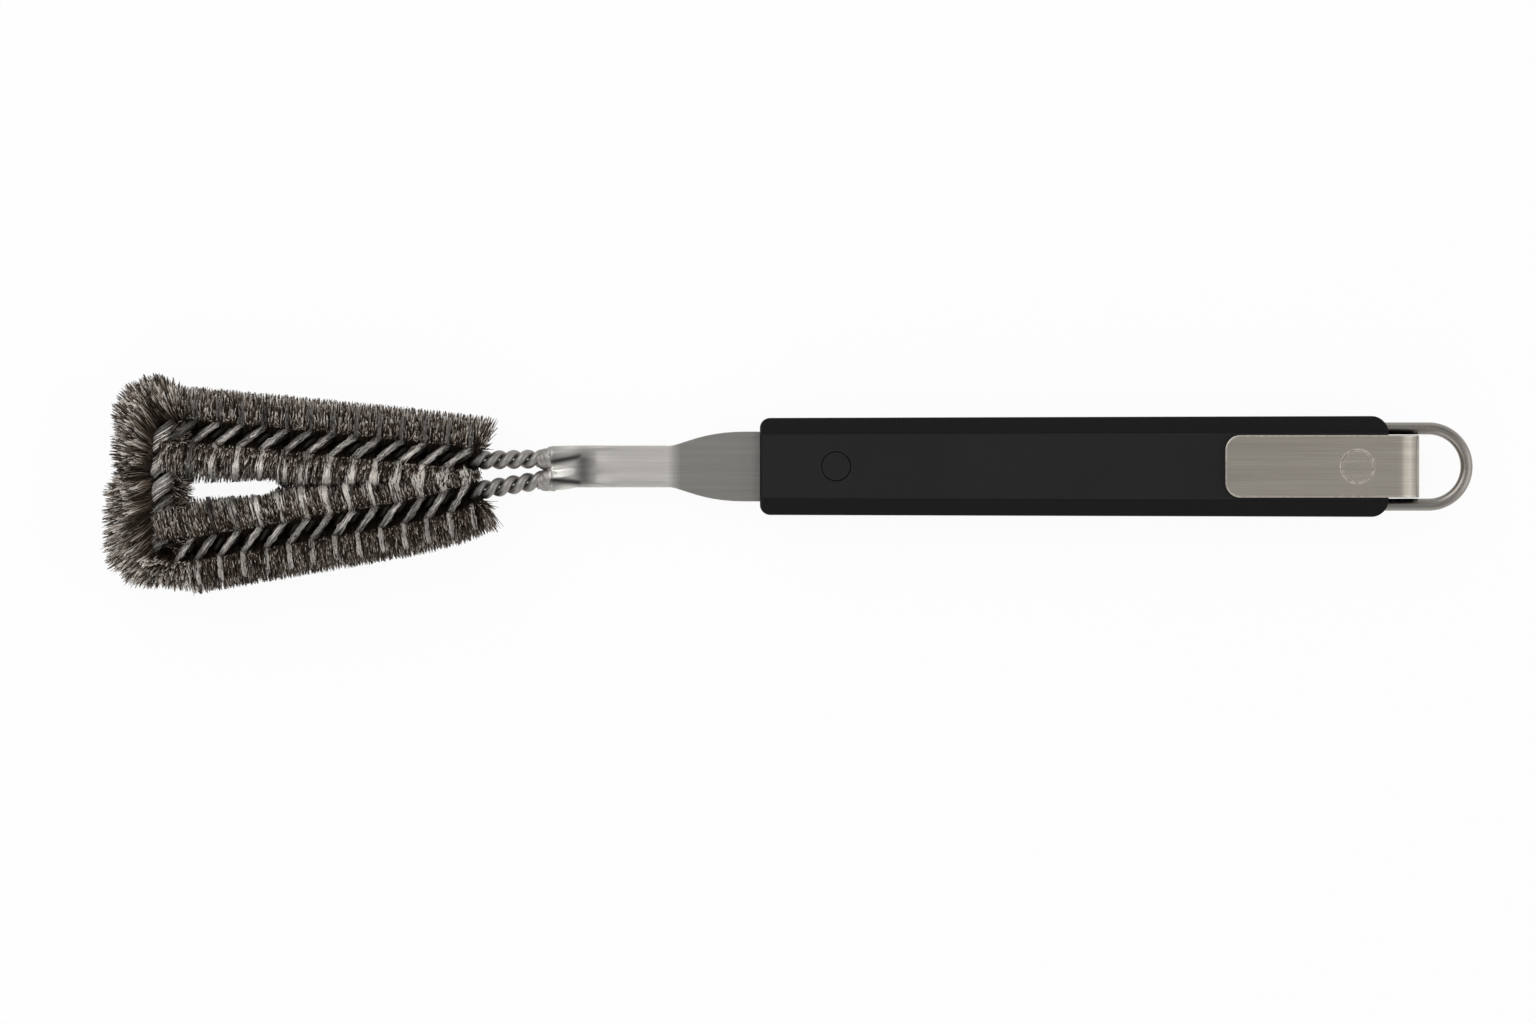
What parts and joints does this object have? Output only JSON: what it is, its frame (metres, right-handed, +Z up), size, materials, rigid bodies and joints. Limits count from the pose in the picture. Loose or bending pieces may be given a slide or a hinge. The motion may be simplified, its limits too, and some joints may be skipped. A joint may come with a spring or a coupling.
{
  "type": "grill wire brush",
  "caption": "Long-handled wire brush with a triangular twisted-wire bristle head, brushed steel shank, bevelled black handle, steel strap clip and swinging hanging loop.",
  "frame": {"origin": "bottom centre of the whole brush as it lies flat on its bristles and on the strap clip", "axes": "+X from the bristle head towards the hanging loop, +Y to the right hand of a user who points the head away, +Z up"},
  "size_m": [0.45, 0.0738, 0.03],
  "materials": {
    "bristle_wire": "dense fill of fine crimped stainless wires, dark between the wires and light at their tips",
    "core_wire": "bare twisted stainless wire",
    "brushed_strip": "stainless strip brushed lengthwise",
    "brushed_strap": "warm satin stainless, fine grain along the strap, bright rim",
    "satin_wire": "satin stainless round wire",
    "plated_steel": "zinc-plated fasteners inside the handle",
    "handle_plastic": "black soft-touch moulded plastic with a very fine grain"
  },
  "bodies": {
    "brush": {"bottom_plug": "handle_plastic", "bristles_left_arm": "bristle_wire", "bristles_left_tuft": "bristle_wire", "bristles_right_arm": "bristle_wire", "bristles_right_tuft": "bristle_wire", "clamp_bolt": "plated_steel", "clamp_nut": "plated_steel", "clamp_washer": "plated_steel", "core_strand_a": "core_wire", "core_strand_b": "core_wire", "handle_bottom_shell": "handle_plastic", "handle_top_shell": "handle_plastic", "rivet_pin": "brushed_strap", "rivet_tube": "brushed_strap", "shank": "brushed_strip", "strap_clip": "brushed_strap", "top_plug": "handle_plastic"},
    "loop": {"hanging_loop": "satin_wire"}
  },
  "joints": [
    {"name": "loop_pivot", "type": "hinge", "parent": "brush", "child": "loop", "pos_m": [0.19225, 0.00572, 0.0115], "axis": [0, 1, 0], "range_deg": [-30, 30]}
  ]
}
